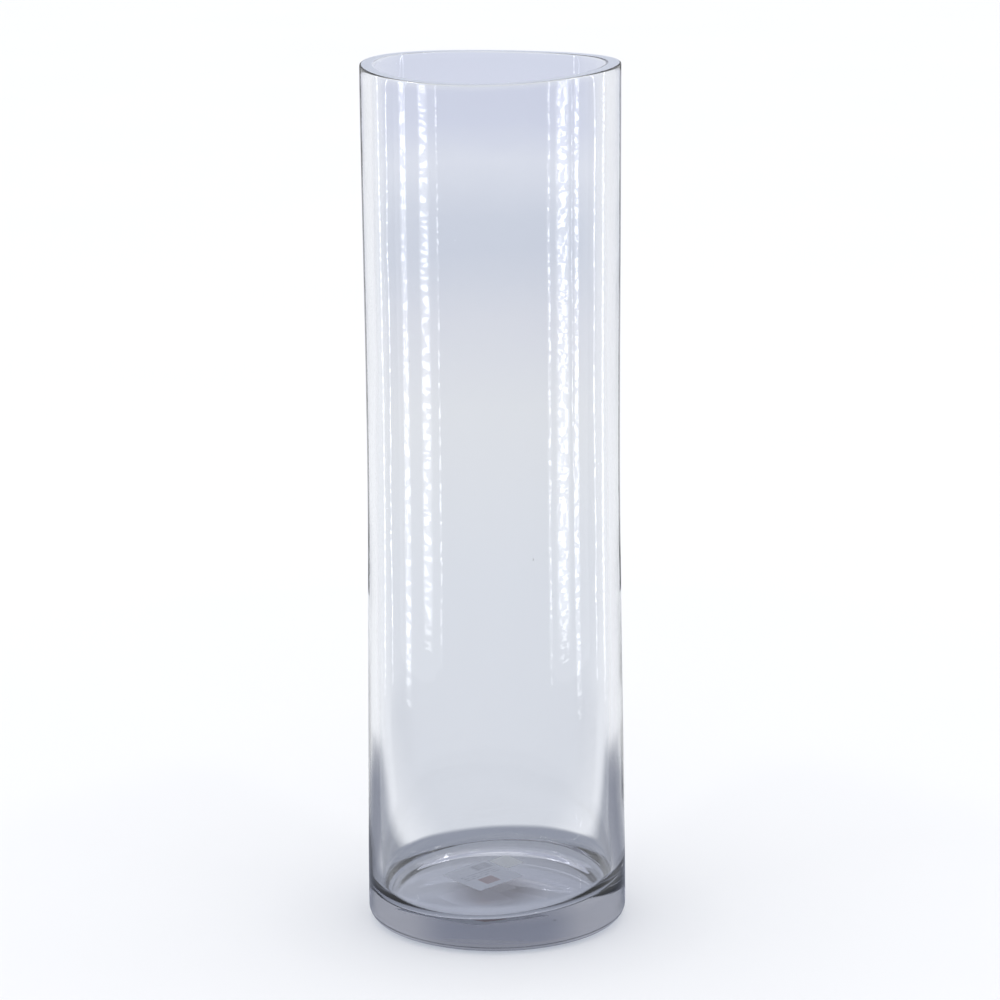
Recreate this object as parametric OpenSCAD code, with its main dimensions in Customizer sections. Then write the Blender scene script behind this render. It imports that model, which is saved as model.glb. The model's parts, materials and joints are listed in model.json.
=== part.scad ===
// Glass cylinder vase: one heavy-based glass body with two paper labels under its foot.
// Millimetres, +Z up. The origin is the centre of the ring that the vase stands on.

/* [Body] */
// Overall height from foot to rim
height = 500; // [460:5:560]
// Outer radius at the waist, where the wall is narrowest
waist_r = 72.4; // [70.6:0.2:76]
// Height of the waist above the foot
waist_z = 285; // [220:5:330]
// How much the wall swells outwards from the waist to the base
base_swell = 2.9; // [0.5:0.1:4]
// How much the wall swells outwards from the waist to the rim
rim_swell = 1.0; // [0:0.1:2]
// Radius of the rounding round the bottom edge
heel_r = 7; // [4:0.5:7.5]
// Radius of the fine rounding on both edges of the flat rim
edge_r = 1.2; // [0.6:0.1:1.6]

/* [Inside] */
// Radius of the straight bore
bore_r = 66; // [60:0.5:66.5]
// Height of the inner floor above the foot
floor_z = 21; // [16:1:30]
// Radius of the rounding between the bore and the floor
corner_r = 7; // [4:0.5:12]

/* [Underside] */
// Inner radius of the flat ring that the vase stands on
ring_r = 63; // [60.5:0.5:64]
// Radius of the flat, raised middle of the underside
recess_r = 56; // [55.5:0.5:58]
// How far the middle of the underside is raised above the ring
recess_z = 0.4; // [0.35:0.05:3]

/* [Labels] */
// Thickness of the label paper with its adhesive
paper_t = 0.12; // [0.08:0.01:0.3]
// Long side of the price label
price_l = 36; // [30:1:36]
// Short side of the price label
price_w = 34; // [30:1:34]
// Sideways place of the price label's near corner
price_x = -9; // [-11:0.5:-8]
// Front-to-back place of the price label's near corner
price_y = -2; // [-4:0.5:-1]
// Turn of both labels
label_turn = 40; // [36:1:42]
// Bare glass left between the two labels
label_gap = 1; // [0.5:0.5:2]
// Long side of the blank label
blank_l = 17; // [12:1:17]
// Short side of the blank label
blank_w = 14; // [10:1:14]
// How far along the price label the blank one starts
blank_shift = 16; // [12:1:16]

/* [Hidden] */
$fn = 128;
wall_steps = 24;
lap = 1;

// Outer radius at height z: narrowest at the waist, with a smooth swell above and below it
function swell(amount, share) = amount * pow(sin(90 * share), 2);
function outer_r(z) = waist_r + (z < waist_z
    ? swell(base_swell, 1 - z / waist_z)
    : swell(rim_swell, (z - waist_z) / (height - waist_z)));

rim_z = height - edge_r;
heel_x = outer_r(heel_r) - heel_r;
bore_z = floor_z + corner_r;

// Height of each step of the outline, from the heel to the rim
function wall_z(i) = heel_r + i * (rim_z - heel_r) / wall_steps;

// Half section of the solid glass, before it is hollowed
module outer_section() {
    square([heel_x, heel_r + lap]);
    intersection() {
        translate([heel_x, heel_r]) circle(r = heel_r);
        square([heel_x + heel_r, heel_r]);
    }
    polygon(concat(
        [[0, heel_r]],
        [for (i = [0 : wall_steps]) [outer_r(wall_z(i)), wall_z(i)]],
        [[0, rim_z]]));
}

// Half section of the space inside, with a rounded corner at the floor
module bore_section() {
    translate([0, floor_z]) square([bore_r - corner_r, corner_r + lap]);
    intersection() {
        translate([bore_r - corner_r, bore_z]) circle(r = corner_r);
        translate([0, floor_z]) square([bore_r, corner_r]);
    }
    translate([0, bore_z]) square([bore_r, height]);
}

// Half section of the shallow hollow under the base, which keeps the labels off the table
module recess_section() {
    polygon([[0, -lap], [ring_r, -lap], [ring_r, 0], [recess_r, recess_z], [0, recess_z]]);
}

// Flat ground rim with both edges rounded off
module rim_section() {
    inner_x = bore_r + edge_r;
    outer_x = outer_r(height) - edge_r;
    translate([inner_x, rim_z]) circle(r = edge_r);
    translate([outer_x, rim_z]) circle(r = edge_r);
    translate([inner_x, rim_z - lap]) square([outer_x - inner_x, edge_r + lap]);
}

module vase_body() {
    color([0.82, 0.86, 0.92, 0.4])
    rotate_extrude() {
        difference() {
            outer_section();
            bore_section();
            recess_section();
        }
        rim_section();
    }
}

// A flat paper label stuck up against the raised middle of the underside, placed across and
// along from the price label's near corner
module label(across, along, w, l) {
    translate([price_x, price_y, recess_z - paper_t])
    rotate(label_turn)
    translate([across, along, 0])
    linear_extrude(paper_t) square([w, l]);
}

module price_label() {
    color([0.93, 0.93, 0.92])
    label(0, 0, price_w, price_l);
}

module stock_label() {
    color([0.86, 0.89, 0.84])
    label(price_w + label_gap, blank_shift, blank_w, blank_l);
}

vase_body();
price_label();
stock_label();
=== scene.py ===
import json
import math
import bpy
from mathutils import Matrix, Vector, noise

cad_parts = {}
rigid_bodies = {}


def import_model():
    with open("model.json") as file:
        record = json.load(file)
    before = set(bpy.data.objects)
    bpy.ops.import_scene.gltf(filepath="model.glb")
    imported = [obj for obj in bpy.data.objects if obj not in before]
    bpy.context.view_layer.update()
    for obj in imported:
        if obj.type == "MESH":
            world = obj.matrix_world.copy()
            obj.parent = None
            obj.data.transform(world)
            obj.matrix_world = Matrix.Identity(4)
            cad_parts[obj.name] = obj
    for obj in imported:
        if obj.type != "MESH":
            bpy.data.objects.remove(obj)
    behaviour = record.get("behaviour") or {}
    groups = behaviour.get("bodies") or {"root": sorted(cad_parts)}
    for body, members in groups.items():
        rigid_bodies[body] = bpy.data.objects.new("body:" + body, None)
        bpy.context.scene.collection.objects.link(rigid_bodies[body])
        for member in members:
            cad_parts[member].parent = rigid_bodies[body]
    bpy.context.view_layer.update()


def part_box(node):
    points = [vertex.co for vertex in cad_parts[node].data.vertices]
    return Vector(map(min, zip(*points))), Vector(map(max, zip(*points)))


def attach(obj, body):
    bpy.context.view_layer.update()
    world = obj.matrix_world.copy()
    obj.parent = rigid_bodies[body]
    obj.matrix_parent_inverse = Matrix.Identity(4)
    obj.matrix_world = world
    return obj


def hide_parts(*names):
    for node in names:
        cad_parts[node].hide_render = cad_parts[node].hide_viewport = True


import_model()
scene = bpy.context.scene


# ---- camera first, then light and floor

shot = dict(
    place=(0.0035, -2.276, 0.808),
    pitch=13.80,       # degrees below level
    roll=-0.464,
    lens=146.8,
)


def makeCamera():
    data = bpy.data.cameras.new("shotCamera")
    data.lens = shot["lens"]
    data.sensor_width = 36
    camera = bpy.data.objects.new("shotCamera", data)
    turn = Matrix.Rotation(math.radians(90 - shot["pitch"]), 3, "X")
    turn = turn @ Matrix.Rotation(math.radians(shot["roll"]), 3, "Z")
    camera.rotation_euler = turn.to_euler()
    camera.location = shot["place"]
    scene.collection.objects.link(camera)
    scene.camera = camera
    print("camera placed")


# tall strips of light beside the vase. Each stands where its highlight comes at this place
# across the vase (metres from the middle, right is positive): the outer face of the glass
# mirrors the front ones, and the far wall mirrors the back ones. wide is in degrees, glow is
# the even part, spots the brighter dots in it and grain their size across and up in metres
lighting = dict(
    worldColor=(0.97, 0.98, 1.0),
    worldStrength=1.18,
    topGlow=0.12,
    topSize=2.4,
    topPlace=(0, 0.4, 2.6),
    nearMirror=0.0726,     # radius of the outer face
    farMirror=0.066,       # radius of the far wall
    stripColor=(0.97, 0.98, 1.0, 1),
    stripFoot=0.04,
    stripTop=0.66,
    flagTop=0.9,
    spotCut=(0.47, 0.62),  # noise between these turns into a spot
    front=[
        dict(name="farLeft", across=-0.0623, wide=4, away=0.40, glow=1.8, spots=5, grain=(0.05, 0.004)),
        dict(name="sideLeft", across=-0.0489, wide=10, away=0.40, glow=3, spots=8, grain=(0.06, 0.005)),
        dict(name="nearLeft", across=-0.0375, wide=13, away=0.58, glow=3.2, spots=10, grain=(0.1, 0.005)),
        dict(name="thinLeft", across=-0.03, wide=3, away=0.50, glow=0.9, spots=6, grain=(0.03, 0.004)),
        dict(name="thinRight", across=0.0319, wide=4, away=0.50, glow=1.2, spots=8, grain=(0.02, 0.004)),
        dict(name="nearRight", across=0.0395, wide=18, away=0.55, glow=3.4, spots=10, grain=(0.045, 0.0035)),
        dict(name="sideRight", across=0.0472, wide=8, away=0.40, glow=2.4, spots=9, grain=(0.03, 0.004)),
        dict(name="farRight", across=0.0622, wide=5.5, away=0.40, glow=1.8, spots=4, grain=(0.02, 0.003)),
    ],
    back=[
        dict(name="backRight", across=-0.05, wide=2.8, away=0.40, glow=2, spots=8, grain=(0.03, 0.006)),
        dict(name="backLeft", across=0.0492, wide=2.8, away=0.40, glow=2, spots=8, grain=(0.03, 0.004)),
    ],
    # dim strips almost behind the vase, which draw its outline
    flags=[
        dict(name="flagLeft", across=-0.0722, wide=15, away=0.60, glow=0.55, spots=0, grain=(0.1, 0.1)),
        dict(name="flagRight", across=0.0722, wide=15, away=0.60, glow=0.55, spots=0, grain=(0.1, 0.1)),
    ],
    # wide soft panels in front on both sides
    panels=[
        dict(name="softLeft", across=-0.0430, wide=44, away=0.65, glow=0.5),
        dict(name="softRight", across=0.0430, wide=44, away=0.65, glow=0.5),
    ],
    panelTop=0.75,
    # two small lamps for the glints in the base
    sparks=[(-1.05, 0.1, 1.7), (1.05, 0.1, 1.7)],
    sparkSize=0.20,
    sparkGlow=40.0,
)


def areaLight(name, place, aim, size, radiance):
    data = bpy.data.lights.new(name, "AREA")
    data.shape = "RECTANGLE"
    data.size, data.size_y = size
    data.energy = radiance * math.pi * size[0] * size[1]
    light = bpy.data.objects.new(name, data)
    light.location = place
    light.rotation_euler = (Vector(place) - Vector(aim)).to_track_quat("Z", "Y").to_euler()
    light.visible_camera = False
    scene.collection.objects.link(light)
    return light


def mirrorPlace(across, away, far):
    # where a level ray from the camera goes after the wall at this place mirrors it
    radius = lighting["farMirror"] if far else lighting["nearMirror"]
    depth = math.sqrt(radius * radius - across * across)
    point = Vector((across, depth if far else -depth))
    square = point.normalized() * (-1 if far else 1)
    view = Vector((0, 1))
    leave = view - 2 * view.dot(square) * square
    along = point.dot(leave)
    return point + leave * (math.sqrt(away ** 2 - radius ** 2 + along ** 2) - along)


def widthOf(strip):
    return 2 * strip["away"] * math.tan(math.radians(strip["wide"] / 2))


def panelLight(panel, height):
    x, y = mirrorPlace(panel["across"], panel["away"], False)
    width = widthOf(panel)
    size = (width, height)
    light = areaLight(panel["name"], (x, y, height / 2), (0, 0, height / 2), size, panel["glow"])
    light.visible_diffuse = False       # it makes a highlight and doesn't light the floor
    light.visible_transmission = False


def stripGlow(bar, width, height):
    # soft along both sides and at the foot, with brighter spots in it
    material, start = newMaterial(bar["name"])
    place = start.add("ShaderNodeTexCoord", out="UV")
    across = start.add("ShaderNodeSeparateXYZ", sockets={"Vector": place}, out=0)
    up = start.add("ShaderNodeSeparateXYZ", sockets={"Vector": place}, out=1)
    side = start.math("PINGPONG", across, 0.5)
    grain = (width / bar["grain"][0], height / bar["grain"][1], 1)
    own = (bar["across"] * 900, 0, 0)      # each strip has its own spots
    spots = start.noise(start.stretch(place, grain, move=own), 1.0, 0.0).between(*lighting["spotCut"])
    spots = spots * side.between(0.1, 0.4) * (up.between(0.0, 0.16) * 0.7 + 0.3)
    even = side.between(0.0, 0.45) * up.between(0.0, 0.07)
    glow = start.add("ShaderNodeEmission", sockets={
        "Color": lighting["stripColor"], "Strength": spots * bar["spots"] + even * bar["glow"]})
    if bar["spots"] > 0:
        # only the light itself shows, not the dark sheet that carries it
        clearSheet = start.add("ShaderNodeBsdfTransparent")
        glow = start.add("ShaderNodeAddShader", sockets={0: glow, 1: clearSheet})
    finishMaterial(start, glow)
    material.cycles.emission_sampling = "NONE"
    return material


def stripLight(bar, top, far=False):
    foot = lighting["stripFoot"]
    height = top - foot
    x, y = mirrorPlace(bar["across"], bar["away"], far)
    width = widthOf(bar)
    bpy.ops.object.select_all(action="DESELECT")
    bpy.ops.mesh.primitive_plane_add(size=1)
    strip = bpy.context.object
    strip.name = bar["name"]
    strip.scale = (width, height, 1)
    strip.rotation_euler = (math.pi / 2, 0, math.atan2(y, x) - math.pi / 2)
    strip.location = (x, y, foot + height / 2)
    bpy.ops.object.transform_apply(location=True, rotation=True, scale=True)
    strip.data.materials.append(stripGlow(bar, width, height))
    strip.visible_camera = False
    strip.visible_diffuse = False
    strip.visible_shadow = False
    return strip


def makeLights():
    world = bpy.data.worlds.new("studio")
    scene.world = world
    world.use_nodes = True
    back = world.node_tree.nodes["Background"]
    back.inputs["Color"].default_value = (*lighting["worldColor"], 1)
    back.inputs["Strength"].default_value = lighting["worldStrength"]
    x, y, z = lighting["topPlace"]
    size = (lighting["topSize"], lighting["topSize"])
    areaLight("topSoftbox", (x, y, z), (x, y, 0), size, lighting["topGlow"])
    size = (lighting["sparkSize"], lighting["sparkSize"])
    for place in lighting["sparks"]:
        areaLight("spark", place, (0, 0, 0), size, lighting["sparkGlow"]).visible_diffuse = False
    for panel in lighting["panels"]:
        panelLight(panel, lighting["panelTop"])
    for bar in lighting["front"]:
        stripLight(bar, lighting["stripTop"]).visible_transmission = False
    for bar in lighting["flags"]:
        stripLight(bar, lighting["flagTop"]).visible_transmission = False
    for bar in lighting["back"]:
        stripLight(bar, lighting["stripTop"], far=True).visible_glossy = False
    print("lights placed")


# ---- shader maths

class Wire:
    # one socket of a material; sums, products and so on of wires add Math nodes
    def __init__(self, tree, socket=None):
        self.tree = tree
        self.socket = socket

    def add(self, kind, settings={}, sockets={}, out=0):
        node = self.tree.nodes.new(kind)
        for name, value in settings.items():
            if name == "stops":
                ramp = node.color_ramp
                while len(ramp.elements) < len(value):
                    ramp.elements.new(0.5)
                for stop, (place, color) in zip(ramp.elements, value):
                    stop.position = place
                    stop.color = color
            else:
                setattr(node, name, value)
        for name, value in sockets.items():
            if isinstance(value, Wire):
                self.tree.links.new(value.socket, node.inputs[name])
            else:
                node.inputs[name].default_value = value
        return Wire(self.tree, node.outputs[out])

    def math(self, operation, a, b=0.0):
        return self.add("ShaderNodeMath", {"operation": operation}, {0: a, 1: b})

    def mixShaders(self, factor, first, second):
        return self.add("ShaderNodeMixShader", sockets={0: factor, 1: first, 2: second})

    def noise(self, place, scale, detail=2.0, rough=0.5):
        sockets = {"Vector": place, "Scale": scale, "Detail": detail, "Roughness": rough}
        return self.add("ShaderNodeTexNoise", sockets=sockets)

    def stretch(self, place, scale, turn=0.0, move=(0, 0, 0)):
        sockets = {"Vector": place, "Scale": scale, "Rotation": (0, 0, turn), "Location": move}
        return self.add("ShaderNodeMapping", {"vector_type": "POINT"}, sockets)

    def between(self, low, high):
        # 0 below low, 1 above high, smooth in between
        settings = {"interpolation_type": "SMOOTHSTEP"}
        return self.add("ShaderNodeMapRange", settings, {0: self, 1: low, 2: high})

    def mixColors(self, factor, first, second):
        settings = {"data_type": "RGBA"}
        return self.add("ShaderNodeMix", settings, {0: factor, 6: first, 7: second}, out=2)

    def __add__(self, other):
        return self.math("ADD", self, other)

    def __radd__(self, other):
        return self.math("ADD", other, self)

    def __sub__(self, other):
        return self.math("SUBTRACT", self, other)

    def __rsub__(self, other):
        return self.math("SUBTRACT", other, self)

    def __mul__(self, other):
        return self.math("MULTIPLY", self, other)

    def __rmul__(self, other):
        return self.math("MULTIPLY", other, self)


def newMaterial(name):
    material = bpy.data.materials.new(name)
    material.use_nodes = True
    tree = material.node_tree
    tree.nodes.clear()
    return material, Wire(tree)


def finishMaterial(start, surface, volume=None):
    output = start.tree.nodes.new("ShaderNodeOutputMaterial")
    start.tree.links.new(surface.socket, output.inputs["Surface"])
    if volume:
        start.tree.links.new(volume.socket, output.inputs["Volume"])


# ---- modelling helpers

def only(piece):
    for other in bpy.context.selected_objects:
        other.select_set(False)
    piece.select_set(True)
    bpy.context.view_layer.objects.active = piece


def latheProfile(name, outline, steps):
    # a chain of points (radius, height), drawn by extruding one vertex, then spun round Z
    bpy.ops.object.select_all(action="DESELECT")
    x, z = outline[0]
    bpy.ops.mesh.primitive_plane_add(size=0.001, location=(x, 0, z))
    piece = bpy.context.object
    piece.name = name
    bpy.ops.object.transform_apply(location=True, rotation=True, scale=True)
    bpy.ops.object.mode_set(mode="EDIT")
    bpy.ops.mesh.select_mode(type="VERT")
    bpy.ops.mesh.merge(type="CENTER")
    for (x0, z0), (x1, z1) in zip(outline, outline[1:]):
        step = (x1 - x0, 0, z1 - z0)
        bpy.ops.mesh.extrude_region_move(TRANSFORM_OT_translate={"value": step})
    bpy.ops.mesh.select_all(action="SELECT")
    bpy.ops.mesh.spin(steps=steps, angle=2 * math.pi, center=(0, 0, 0), axis=(0, 0, 1))
    bpy.ops.mesh.select_all(action="SELECT")
    bpy.ops.mesh.remove_doubles(threshold=0.00001)
    bpy.ops.mesh.normals_make_consistent(inside=False)
    bpy.ops.object.mode_set(mode="OBJECT")
    bpy.ops.object.shade_smooth()
    return piece


def arc(middleX, middleZ, radius, start, end, count):
    # points along a round stretch, angles in degrees from straight out, without its first point
    points = []
    for i in range(1, count + 1):
        angle = math.radians(start + (end - start) * i / count)
        points.append((middleX + radius * math.cos(angle), middleZ + radius * math.sin(angle)))
    return points


# ---- glass body

glass = dict(
    waistRadius=0.0724,
    waistHeight=0.285,
    baseSwell=0.0029,
    rimSwell=0.0010,
    edgeRadius=0.0010,
    innerEdgeRadius=0.0006,
    boreRadius=0.0656,
    boreSwell=0.0018,            # the bore widens by this much low down
    boreShift=-0.0007,           # and stands this much off the middle, sideways
    footRound=(0.0070, 0.011),   # rounding at the foot of the bore, across and up
    floorHeight=0.0205,
    floorTilt=(0.063, 0.040),    # rise of the floor to the right and to the back
    heelRadius=0.007,
    ringRadius=0.063,
    recessRadius=0.056,
    recessHeight=0.00038,        # the labels reach just into the glass, as stuck paper does
    wallRow=0.0045,              # height of one row of faces up the wall
    steps=192,                   # faces round the vase
    rimWave=(0.00121, -0.00065),
    ripple=0.00010,              # gentle unevenness of the wall
)


def smooth(value, low, high):
    share = min(1, max(0, (value - low) / (high - low)))
    return share * share * (3 - 2 * share)


def outerRadius(z, height):
    if z < glass["waistHeight"]:
        share = 1 - z / glass["waistHeight"]
        return glass["waistRadius"] + glass["baseSwell"] * math.sin(math.pi / 2 * share) ** 2
    share = (z - glass["waistHeight"]) / (height - glass["waistHeight"])
    return glass["waistRadius"] + glass["rimSwell"] * math.sin(math.pi / 2 * share) ** 2


def boreRadius(z):
    return glass["boreRadius"] + glass["boreSwell"] * (1 - smooth(z, 0.10, 0.36))


def rise(low, high, row):
    count = max(1, round((high - low) / row))
    return [low + (high - low) * i / count for i in range(1, count + 1)]


def glassOutline(height):
    heel = glass["heelRadius"]
    across, up = glass["footRound"]
    floor = glass["floorHeight"]
    recess = glass["recessHeight"]
    edge = glass["edgeRadius"]
    rimZ = height - edge
    heelX = outerRadius(heel, height) - heel
    points = [(0, recess)]
    points += [(glass["recessRadius"] * i / 8, recess) for i in range(1, 9)]
    ramp = glass["ringRadius"] - glass["recessRadius"]
    for i in range(1, 7):
        share = i / 6
        drop = recess * (0.5 + 0.5 * math.cos(math.pi * share))
        points.append((glass["recessRadius"] + ramp * share, drop))
    points += [(x, 0) for x in rise(glass["ringRadius"], heelX, 0.002)]
    points += arc(heelX, heel, heel, -90, 0, 12)
    points += [(outerRadius(z, height), z) for z in rise(heel, rimZ, glass["wallRow"])]
    # rim: a flat top between two fine roundings
    outerX = outerRadius(height, height) - edge
    innerEdge = glass["innerEdgeRadius"]
    innerX = boreRadius(height) + innerEdge
    points += arc(outerX, rimZ, edge, 0, 90, 6)
    points += [(outerX + (innerX - outerX) * i / 5, height) for i in range(1, 6)]
    points += arc(innerX, height - innerEdge, innerEdge, 90, 180, 6)
    down = rise(floor + up, height - innerEdge, glass["wallRow"])
    points += [(boreRadius(z), z) for z in reversed([floor + up] + down[:-1])]
    cornerX = boreRadius(floor + up) - across
    for i in range(1, 33):
        angle = math.pi / 2 * i / 32
        points.append((cornerX + across * math.cos(angle), floor + up * (1 - math.sin(angle))))
    points += [(cornerX * (7 - i) / 8, floor) for i in range(0, 8)]
    return points


def settleGlass(body, height):
    # what a lathe can't give: a rim that runs up and down a little, an inner floor that is
    # thicker on the right, a bore slightly off the middle and walls that are not quite even
    middle = (glass["boreRadius"] + glass["waistRadius"]) / 2
    for vert in body.data.vertices:
        x, y, z = vert.co
        far = math.hypot(x, y)
        turn = math.atan2(y, x)
        wave = glass["rimWave"][0] * math.cos(2 * turn) + glass["rimWave"][1] * math.sin(2 * turn)
        lift = wave * smooth(z, height - 0.12, height - 0.005)
        inner = z > 0.010 and far < middle and z < height - 0.0001
        if inner:
            tilt = glass["floorTilt"]
            lift += (tilt[0] * x + tilt[1] * y) * (1 - smooth(z, 0.026, 0.100))
            x += glass["boreShift"] * smooth(z, 0.020, 0.060)
        if far > 0.060 and 0.03 < z < height - 0.006:
            uneven = noise.noise(Vector((x * 22, y * 22, z * 13 + (9 if inner else 0))))
            uneven += 0.4 * noise.noise(Vector((x * 50, y * 50, z * 42 + (5 if inner else 0))))
            grow = 1 + glass["ripple"] * uneven / far * smooth(z, 0.03, 0.08)
            x, y = x * grow, y * grow
        vert.co = (x, y, z + lift)
    body.data.update()


# seed bubbles: place from the axis, sizes across and up
seeds = [
    dict(turn=-61.0, far=0.0640, z=0.0150, wide=0.00050, tall=0.00065),
    dict(turn=-118.0, far=0.0500, z=0.0110, wide=0.00035, tall=0.00030),
    dict(turn=-108.0, far=0.0700, z=0.0410, wide=0.00025, tall=0.00060),
    dict(turn=-72.0, far=0.0695, z=0.2310, wide=0.00022, tall=0.00070),
    dict(turn=-131.0, far=0.0692, z=0.3420, wide=0.00020, tall=0.00055),
    dict(turn=58.0, far=0.0694, z=0.1760, wide=0.00022, tall=0.00060),
    dict(turn=142.0, far=0.0560, z=0.0130, wide=0.00040, tall=0.00035),
    dict(turn=24.0, far=0.0350, z=0.0120, wide=0.00030, tall=0.00028),
]


def addSeeds(body):
    made = []
    for seed in seeds:
        turn = math.radians(seed["turn"])
        place = (seed["far"] * math.cos(turn), seed["far"] * math.sin(turn), seed["z"])
        bpy.ops.object.select_all(action="DESELECT")
        bpy.ops.mesh.primitive_uv_sphere_add(segments=20, ring_count=12, radius=1, location=place)
        bubble = bpy.context.object
        bubble.scale = (seed["wide"], seed["wide"], seed["tall"])
        bpy.ops.object.transform_apply(location=True, rotation=True, scale=True)
        bpy.ops.object.shade_smooth()
        bpy.ops.object.mode_set(mode="EDIT")
        bpy.ops.mesh.select_all(action="SELECT")
        bpy.ops.mesh.flip_normals()     # a hollow in the glass faces into itself
        bpy.ops.object.mode_set(mode="OBJECT")
        made.append(bubble)
    only(body)
    for bubble in made:
        bubble.select_set(True)
    bpy.ops.object.join()
    print("seed bubbles:", len(made))


def makeGlass():
    low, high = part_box("vase_body")
    height = high.z
    body = latheProfile("glassBody", glassOutline(height), glass["steps"])
    settleGlass(body, height)
    addSeeds(body)
    print("glass body:", len(body.data.polygons), "faces")
    return body


clear = dict(
    tint=(0.975, 0.98, 0.99),
    bend=1.5,
    shade=(0.80, 0.82, 0.85),      # what one face of the glass lets through to a shadow
    depthColor=(0.35, 0.36, 0.43),
    depthDensity=12.5,
    beadScale=120,
    beadDepth=0.00003,
    sparkleScale=420,
    sparkleDepth=0.000006,
)


def clearGlass():
    material, start = newMaterial("clearGlass")
    place = start.add("ShaderNodeTexCoord", out="Object")
    height = start.add("ShaderNodeSeparateXYZ", sockets={"Vector": place}, out=2)
    across = start.add("ShaderNodeSeparateXYZ", sockets={"Vector": place}, out=0)
    # soft beads all round and a finer sparkle on the right, both weaker towards the base and
    # on the inner face
    beads = start.noise(place, clear["beadScale"], 0.0)
    sparkle = start.noise(place, clear["sparkleScale"], 0.0)
    upper = height.between(0.10, 0.24) * 0.8 + 0.2
    right = across.between(-0.01, 0.03)
    relief = beads * clear["beadDepth"] + sparkle * (right + 0.3) * clear["sparkleDepth"]
    outside = start.add("ShaderNodeVectorMath", {"operation": "LENGTH"}, {
        0: start.stretch(place, (1, 1, 0))}, out=1).between(0.068, 0.070) * 0.85 + 0.15
    bump = start.add("ShaderNodeBump", sockets={
        "Strength": 1.0, "Distance": 1.0, "Height": relief * upper * outside}, out="Normal")
    body = start.add("ShaderNodeBsdfPrincipled", sockets={
        "Base Color": (*clear["tint"], 1),
        "Roughness": 0.0,
        "IOR": clear["bend"],
        "Transmission Weight": 1.0,
        "Normal": bump,
    })
    through = start.add("ShaderNodeBsdfTransparent", sockets={"Color": (*clear["shade"], 1)})
    forDiffuse = start.add("ShaderNodeLightPath", out="Is Diffuse Ray")
    forShadow = start.add("ShaderNodeLightPath", out="Is Shadow Ray")
    seen = start.mixShaders(forDiffuse, body, through)
    surface = start.mixShaders(forShadow, seen, through)
    tint = start.add("ShaderNodeVolumeAbsorption", sockets={
        "Color": (*clear["depthColor"], 1), "Density": clear["depthDensity"]})
    finishMaterial(start, surface, tint)
    return material


rim = dict(color=(0.70, 0.745, 0.85), frost=0.35, grain=1400, through=0.3)


def groundRim():
    # the flat top of the rim is cut and only half polished
    material, start = newMaterial("groundRim")
    place = start.add("ShaderNodeTexCoord", out="Object")
    grain = start.noise(place, rim["grain"], 3.0)
    bump = start.add("ShaderNodeBump", sockets={
        "Strength": 0.4, "Distance": 0.00003, "Height": grain}, out="Normal")
    dull = [c * 0.9 for c in rim["color"]]
    tone = start.mixColors(grain, (*rim["color"], 1), (*dull, 1))
    surface = start.add("ShaderNodeBsdfPrincipled", sockets={
        "Base Color": tone,
        "Roughness": rim["frost"],
        "IOR": clear["bend"],
        "Transmission Weight": rim["through"],
        "Normal": bump,
    })
    finishMaterial(start, surface)
    return material


def frostRim(body, material):
    # give the flat top of the rim its own finish
    body.data.materials.append(material)
    high = max(vert.co.z for vert in body.data.vertices)
    count = 0
    for face in body.data.polygons:
        if face.normal.z > 0.995 and face.center.z > high - 0.01:
            face.material_index = len(body.data.materials) - 1
            count += 1
    print("rim faces with a ground finish:", count)


# ---- labels, measured across and along from the price label's near corner

labels = dict(
    corner=(-0.009, -0.002),
    turn=40,
    top=0.0004,
    thick=0.00012,
    round=0.0012,
    price=dict(name="priceLabel", start=(0, 0), size=(0.034, 0.036)),
    blank=dict(name="stockLabel", start=(0.035, 0.016), size=(0.014, 0.017)),
)


def makeLabel(settings):
    bpy.ops.object.select_all(action="DESELECT")
    wide, long = settings["size"]
    across, along = settings["start"]
    bpy.ops.mesh.primitive_cube_add(size=1)
    label = bpy.context.object
    label.name = settings["name"]
    label.scale = (wide, long, labels["thick"])
    label.location = (across + wide / 2, along + long / 2, 0)
    bpy.ops.object.transform_apply(location=True, rotation=True, scale=True)
    bpy.ops.object.mode_set(mode="EDIT")
    bpy.ops.mesh.select_mode(type="EDGE")
    bpy.ops.mesh.select_all(action="DESELECT")
    bpy.ops.object.mode_set(mode="OBJECT")
    for edge in label.data.edges:
        first, second = (label.data.vertices[i].co for i in edge.vertices)
        edge.select = abs(first.z - second.z) > labels["thick"] / 2
    bpy.ops.object.mode_set(mode="EDIT")
    bpy.ops.mesh.bevel(offset=labels["round"], segments=5, affect="EDGES")
    bpy.ops.object.mode_set(mode="OBJECT")
    label.rotation_euler = (0, 0, math.radians(labels["turn"]))
    label.location = (*labels["corner"], labels["top"] - labels["thick"] / 2)
    bpy.ops.object.transform_apply(location=True, rotation=True, scale=True)
    print("label:", settings["name"])
    return label


def labelPlace(start):
    # object coordinates turned and moved so x runs across the price label and y along it, in mm
    place = start.add("ShaderNodeTexCoord", out="Object")
    moved = start.stretch(place, (1, 1, 1), move=(-labels["corner"][0], -labels["corner"][1], 0))
    turned = start.stretch(moved, (1, 1, 1), turn=-math.radians(labels["turn"]))
    return start.stretch(turned, (1000, 1000, 1000))


def inside(value, low, high, soft=0.15):
    # 1 from low to high, with soft ends
    return value.between(low - soft, low + soft) * (1 - value.between(high - soft, high + soft))


priceInk = dict(
    paper=(0.76, 0.76, 0.78),
    dusty=(0.62, 0.62, 0.65),
    block=(0.42, 0.29, 0.29),
    blockSides=(10, 20.5, 5, 14.5),      # across from, to, along from, to, in mm
    rules=(0.36, 0.36, 0.39),
    ruleStart=17,
    rulePitch=2.6,
    ruleCount=3,
    bars=(0.20, 0.20, 0.24),
    barSides=(19, 32, 25.5, 33.5),
)


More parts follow.
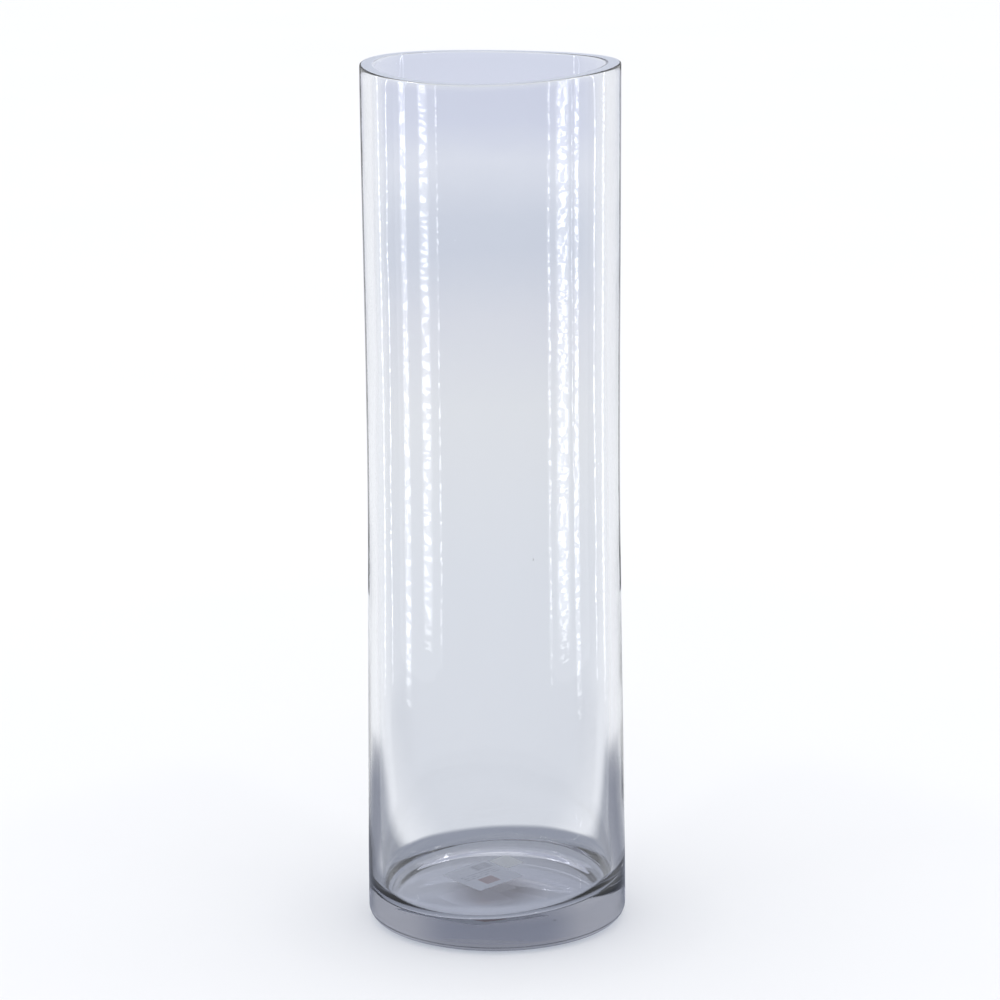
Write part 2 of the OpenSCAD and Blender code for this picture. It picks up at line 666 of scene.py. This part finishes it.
def pricePaper():
    material, start = newMaterial("priceLabelPaper")
    place = labelPlace(start)
    across = start.add("ShaderNodeSeparateXYZ", sockets={"Vector": place}, out=0)
    along = start.add("ShaderNodeSeparateXYZ", sockets={"Vector": place}, out=1)
    fibre = start.noise(place, 1.3, 5.0, 0.7)
    tone = start.mixColors(fibre.between(0.3, 0.75), (*priceInk["paper"], 1), (*priceInk["dusty"], 1))
    left, right, near, far = priceInk["blockSides"]
    worn = start.noise(place, 2.1, 4.0).between(0.18, 0.42) * 0.5 + 0.5
    block = inside(across, left, right) * inside(along, near, far) * worn
    tone = start.mixColors(block, tone, (*priceInk["block"], 1))
    for i in range(priceInk["ruleCount"]):
        row = priceInk["ruleStart"] + priceInk["rulePitch"] * i
        # a plain grey rule, broken along its length so it reads as print but says nothing
        broken = start.noise(start.stretch(place, (0.9, 0.01, 0.01), move=(i * 7, 0, 0)), 1.0, 3.0)
        rule = inside(across, 4, 30) * inside(along, row, row + 1.1) * broken.between(0.44, 0.5)
        tone = start.mixColors(rule * 0.8, tone, (*priceInk["rules"], 1))
    # upright bars of uneven width in the far corner, which stand for no number
    left, right, near, far = priceInk["barSides"]
    uneven = start.noise(start.stretch(place, (1.5, 0.001, 0.001)), 1.0, 2.0)
    bars = inside(across, left, right) * inside(along, near, far) * uneven.between(0.46, 0.50)
    tone = start.mixColors(bars * 0.6, tone, (*priceInk["bars"], 1))
    bump = start.add("ShaderNodeBump", sockets={
        "Strength": 0.3, "Distance": 0.00002, "Height": fibre}, out="Normal")
    surface = start.add("ShaderNodeBsdfPrincipled", sockets={
        "Base Color": tone, "Roughness": fibre * 0.15 + 0.5, "Normal": bump})
    finishMaterial(start, surface)
    return material


blankInk = dict(paper=(0.82, 0.815, 0.76), mottle=(0.74, 0.735, 0.70))


def blankPaper():
    material, start = newMaterial("stockLabelPaper")
    place = labelPlace(start)
    fibre = start.noise(place, 1.7, 5.0, 0.7)
    tone = start.mixColors(fibre.between(0.3, 0.7), (*blankInk["paper"], 1), (*blankInk["mottle"], 1))
    bump = start.add("ShaderNodeBump", sockets={
        "Strength": 0.3, "Distance": 0.00002, "Height": fibre}, out="Normal")
    surface = start.add("ShaderNodeBsdfPrincipled", sockets={
        "Base Color": tone, "Roughness": fibre * 0.15 + 0.55, "Normal": bump})
    finishMaterial(start, surface)
    return material


# ---- floor, and a set of glowing cards that only the glass sees, with painted light and shade

def makeFloor():
    bpy.ops.object.select_all(action="DESELECT")
    bpy.ops.mesh.primitive_plane_add(size=24, location=(0, 0, -0.0008))
    floor = bpy.context.object
    floor.name = "studioFloor"
    material, start = newMaterial("floorPaper")
    place = start.add("ShaderNodeTexCoord", out="Object")
    tone = start.mixColors(start.noise(place, 3.0), (0.85, 0.85, 0.86, 1), (0.87, 0.87, 0.88, 1))
    surface = start.add("ShaderNodeBsdfPrincipled", sockets={
        "Base Color": tone, "Roughness": 0.8, "Specular IOR Level": 0.2})
    finishMaterial(start, surface)
    floor.data.materials.append(material)
    print("floor placed")


cards = dict(
    radius=0.75,
    height=1.0,
    level=-0.0004,            # just over the floor
    bright=(1.02, 1.04, 1.07, 1),
    brightFrom=(12, 29),      # degrees round from straight behind
    brightTo=(60, 78),
    wings=(0.32, 0.34, 0.40, 1),
    wingsFrom=(27, 37),
    wingsTo=(60, 85),
    wingRadius=(0.31, 0.40),
    # painted shade on the table under the vase, darker towards its middle: a dark disc round
    # the vase, a lighter ring just under it and a dark spot at its very middle
    turntable=(0.28, 0.305, 0.375, 1),
    turntableRadius=(0.118, 0.142),
    under=(0.46, 0.49, 0.58, 1),
    underRadius=(0.056, 0.076),
    middle=(0.11, 0.10, 0.12, 1),
    middleRadius=(0.008, 0.036),
    # tone of the wall by height, from the floor to 0.4 m up
    stops=[
        (0.0, (0.80, 0.83, 0.88, 1)),
        (0.36, (0.84, 0.86, 0.89, 1)),
        (0.53, (0.79, 0.81, 0.87, 1)),
        (0.66, (0.70, 0.74, 0.83, 1)),
        (0.72, (0.71, 0.75, 0.84, 1)),
        (0.83, (0.83, 0.86, 0.94, 1)),
        (0.90, (0.73, 0.765, 0.89, 1)),
        (1.0, (0.71, 0.745, 0.87, 1)),
    ],
)


def makeCards():
    # a grey tent round a darker disc, the usual surroundings for clear glass, brighter on
    # both sides to light the edges of the wall. The tent glows at these tones: painted light
    # and shade, not lit by the lamps
    outline = [(0, cards["level"])]
    outline += [(cards["radius"] * i / 6, cards["level"]) for i in range(1, 7)]
    outline += [(cards["radius"], cards["height"] * i / 6) for i in range(1, 7)]
    tent = latheProfile("glassCards", outline, 96)
    material, start = newMaterial("glowingCards")
    place = start.add("ShaderNodeTexCoord", out="Object")
    x, y, z = (start.add("ShaderNodeSeparateXYZ", sockets={"Vector": place}, out=i) for i in range(3))
    # how far round from straight behind the vase, in degrees
    off = start.math("ABSOLUTE", start.math("ARCTAN2", x, y)) * (180 / math.pi)
    distance = start.add("ShaderNodeVectorMath", {"operation": "LENGTH"}, {0: place}, out=1)
    tone = start.add("ShaderNodeValToRGB", {"stops": cards["stops"]}, {0: z * 2.5})
    sides = off.between(*cards["brightFrom"]) * (1 - off.between(*cards["brightTo"]))
    tone = start.mixColors(sides, tone, cards["bright"])
    wings = off.between(*cards["wingsFrom"]) * (1 - off.between(*cards["wingsTo"]))
    wings = wings * (1 - distance.between(*cards["wingRadius"]))
    tone = start.mixColors(wings, tone, cards["wings"])
    # painted shade round and under the vase, from the outside in
    for part in ("turntable", "under", "middle"):
        tone = start.mixColors(1 - distance.between(*cards[part + "Radius"]), tone, cards[part])
    # the cards glow at their own tones, painted light and shade seen only in the glass
    glow = start.add("ShaderNodeEmission", sockets={"Color": tone, "Strength": 1.0})
    finishMaterial(start, glow)
    material.cycles.emission_sampling = "NONE"
    tent.data.materials.append(material)
    tent.visible_camera = False
    tent.visible_diffuse = False
    tent.visible_shadow = False
    print("cards round the glass placed")


makeCamera()
makeLights()
makeFloor()
makeCards()

body = makeGlass()
body.data.materials.append(clearGlass())
frostRim(body, groundRim())
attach(body, "root")
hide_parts("vase_body")

priceLabel = makeLabel(labels["price"])
priceLabel.data.materials.append(pricePaper())
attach(priceLabel, "root")
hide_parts("price_label")

stockLabel = makeLabel(labels["blank"])
stockLabel.data.materials.append(blankPaper())
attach(stockLabel, "root")
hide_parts("stock_label")

scene.view_settings.view_transform = "Standard"
